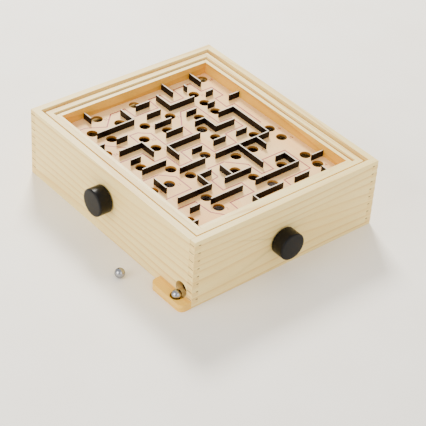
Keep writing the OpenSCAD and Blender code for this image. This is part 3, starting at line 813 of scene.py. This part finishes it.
cord_braid, cord_tree, cord_shader = blank_material("white_cord", srgb(232, 228, 218), 0.85)
cord_speck = stretched_noise(cord_tree, (2600, 2600, 2600), 2.0)
cord_tint = ramp(cord_tree, cord_speck, [(0.35, srgb(196, 190, 176)), (0.6, srgb(240, 237, 228))])
cord_tree.links.new(cord_tint, cord_shader.inputs["Base Color"])
cord_shader.inputs["Sheen Weight"].default_value = 0.3
bump(cord_tree, cord_shader, cord_speck, 0.5, 0.00015)
cord_radius = 0.0005
cord_sides = 10
run_points = 16
eye_ring = 0.0022
eye_wire = 0.0006
eye_sides = 12
slack = 0.0001
link_radius = eye_wire + cord_radius + slack
coil_radius = shaft_radius + cord_radius + slack
coil_turns = 3
coil_half = 0.0018
spring_mean = 0.0019
spring_wire = 0.0004
spring_end = 0.001
spring_turns = 13
coiled_share = 0.62


def eyes(name, node, body, ring_axis):
    """Screw eyes in place of each solid: a wire ring under a plain shank."""
    along = "XYZ".index(ring_axis)
    all_points, all_faces, count = [], [], 0
    for low, high in zip(*solids_of(node)):
        middle = (low + high) / 2
        centre = np.array([middle[0], middle[1], low[2] + eye_wire + eye_ring])
        a = np.linspace(0, 2 * np.pi, 41)[:-1]
        side = np.eye(3)[1 - along]
        up_way = np.array([0, 0, 1.0])
        ring_path = centre + eye_ring * (np.cos(a)[:, None] * side + np.sin(a)[:, None] * up_way)
        heading = np.roll(ring_path, -1, 0) - np.roll(ring_path, 1, 0)
        heading /= np.linalg.norm(heading, axis=1)[:, None]
        normal = np.eye(3)[along][None].repeat(len(a), 0)
        outward = np.cross(heading, normal)
        b = np.linspace(0, 2 * np.pi, eye_sides, endpoint=False)
        points = ring_path[:, None] + eye_wire * (np.cos(b)[None, :, None] * outward[:, None]
                                                  + np.sin(b)[None, :, None] * normal[:, None])
        k, j = np.meshgrid(np.arange(len(a)), np.arange(eye_sides), indexing="ij")
        here, following, across = k * eye_sides, (k + 1) % len(a) * eye_sides, (j + 1) % eye_sides
        quads = np.stack([here + j, here + across, following + across, following + j], -1)
        faces = quads.reshape(-1, 4).tolist()
        all_points.append(points.reshape(-1, 3))
        all_faces += [[i + count for i in f] for f in faces]
        count += len(points.reshape(-1, 3))
        stem_sunk = eye_wire * 0.3
        stem_foot = (centre[0], centre[1], centre[2] + eye_ring - stem_sunk)
        stem_head = (centre[0], centre[1], high[2])
        shank, shank_faces = tube(straight(stem_foot, stem_head, 6), eye_wire, eye_sides)
        all_points.append(shank)
        all_faces += [[i + count for i in f] for f in shank_faces]
        count += len(shank)
    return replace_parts(new_piece(name, np.vstack(all_points), all_faces, rod_steel, body), node)


eyes("outer_cord_screw_eyes", "outer_cord_eyes", "outer_frame", "X")
eyes("inner_cord_screw_eyes", "inner_cord_eyes", "maze_tray", "Y")


def strung(name, path, chain, held=0):
    """A run of cord cut into one part for each joint between the bodies of chain. Points
    before index held all fall in the first part; the parts are left in world space, not attached to any
    body."""
    cuts = np.linspace(held, len(path) - 1, len(chain)).round().astype(int)
    for part, (near, far) in enumerate(zip(chain[:-1], chain[1:])):
        begin = cuts[part] if part else 0
        points, faces = tube(path[begin:cuts[part + 1] + 1], cord_radius, cord_sides)
        piece = new_piece(f"{name}_{part + 1}", points, faces, cord_braid, None)
        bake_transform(piece)


def cord_drive(label, eye_node, shaft_node, spring_node, along, chain, drive_body):
    """One cord line: a loop round the first eye's wire, a straight run to the top of the
    shaft, a helix round it (R sin t along the cord, R cos t up, and a steady advance
    along the shaft), a run to the spring, and the spring itself."""
    s = "XYZ".index(along)
    run = np.eye(3)[s]
    up_way = np.array([0, 0, 1.0])
    across = np.cross(up_way, run)
    lows, highs = solids_of(eye_node)
    order = np.argsort(lows[:, s])
    ends = []
    for low, high in zip(lows[order], highs[order]):
        middle = (low + high) / 2
        ends.append(np.array([middle[0], middle[1], low[2] + eye_wire + eye_ring]))
    shaft_low, shaft_high = map(np.array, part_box(shaft_node))
    shaft = (shaft_low + shaft_high) / 2
    shaft[1 - s] = ends[0][1 - s]
    spring_low, spring_high = map(np.array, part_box(spring_node))
    spring_start = ends[1].copy()
    spring_start[s] = spring_low[s]

    def fall(point):
        return math.atan2(point[2] - shaft[2] - coil_radius, abs(point[s] - shaft[s]))

    first, last = fall(ends[0]), 2 * math.pi * coil_turns - fall(spring_start)
    t = np.linspace(first, last, coil_turns * 24 + 1)
    k = (t - first) / (last - first)
    coil = (shaft + coil_radius * (np.sin(t)[:, None] * run + np.cos(t)[:, None] * up_way)
            + (-coil_half + 2 * coil_half * k)[:, None] * across)
    a = np.radians(np.linspace(30, 270, 17))
    wire = ends[0] + eye_ring * run
    loop = wire + link_radius * (np.cos(a)[:, None] * run + np.sin(a)[:, None] * across)
    first_run = np.vstack([loop, straight(loop[-1], coil[0], run_points)[1:]])
    second_run = straight(coil[-1], spring_start - slack * run, run_points)
    strung(label + "_cord_first_run", first_run, chain, len(loop) - 1)
    strung(label + "_cord_second_run", second_run, chain[::-1])
    points, faces = tube(coil, cord_radius, cord_sides)
    turns = new_piece(label + "_cord_turns", points, faces, cord_braid, drive_body)
    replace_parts(turns, label + "_cord")
    coiled_length = (spring_high[s] - spring_low[s]) * coiled_share
    angle = np.linspace(0, 2 * np.pi * spring_turns, spring_turns * 16 + 1)
    body = (spring_start + (spring_end + coiled_length * angle / angle[-1])[:, None] * run
            + spring_mean * (np.cos(angle)[:, None] * across + np.sin(angle)[:, None] * up_way))
    lead_in = straight(spring_start, body[0], 5)[:-1]
    hook_wire = ends[1] - eye_ring * run
    hook_radius = eye_wire + spring_wire + slack
    b = np.radians(np.linspace(180, -90, 15))
    hook = hook_wire + hook_radius * (np.cos(b)[:, None] * run + np.sin(b)[:, None] * across)
    lead_out = straight(body[-1], hook[0], 8)[1:-1]
    points, faces = tube(np.vstack([lead_in, body, lead_out, hook]), spring_wire)
    coil_spring = new_piece(label + "_coil_spring", points, faces, rod_steel, chain[0])
    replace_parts(coil_spring, spring_node)


outer_chain = ("outer_frame", "box")
inner_chain = ("maze_tray", "outer_frame", "box")
cord_drive("outer", "outer_cord_eyes", "left_shaft", "outer_cord_spring", "Y", outer_chain, "left_drive")
cord_drive("inner", "inner_cord_eyes", "front_shaft", "inner_cord_spring", "X", inner_chain, "front_drive")

# --- Steel balls ---------------------------------------------------------------------
# Polished 12.7 mm bearing balls: one rests in the exit pit, one lies on the table.
# Their tint darkens towards the rim: a painted reflection of a dim room, which the bright room here doesn't
# give.
ball_steel = metal("polished_ball_steel", srgb(168, 170, 176), 0.1, 7)
ball_tree = ball_steel.node_tree
ball_shader = ball_tree.nodes["Principled BSDF"]
ball_colour = ball_shader.inputs["Base Color"].links[0].from_socket
# Painted reflection: the base colour is darkened towards the ball's rim.
ball_edge = ball_tree.nodes.new("ShaderNodeLayerWeight")
ball_edge.inputs["Blend"].default_value = 0.42
rim_shade = ramp(ball_tree, ball_edge.outputs["Facing"], [(0.3, (1, 1, 1, 1)), (0.75, srgb(96, 102, 108))])
shaded_ball = blend_colours(ball_tree, 1.0, ball_colour, rim_shade, "MULTIPLY")
ball_tree.links.new(shaded_ball, ball_shader.inputs["Base Color"])
ball_axis = (0.02, 0.01, 1.0)
for node, body in (("tray_ball", "exit_ball"), ("spare_ball", "loose_ball")):
    low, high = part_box(node)
    middle = (low + high) / 2
    radius = (high.z - low.z) / 2
    points, faces = turned(arc((0, 0), radius, -89.5, 89.5, 40), middle, ball_axis)
    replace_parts(new_piece(node + "_sphere", points, faces, ball_steel, body), node)

# --- Scene update ---------------------------------------------------------------------
bpy.context.view_layer.update()
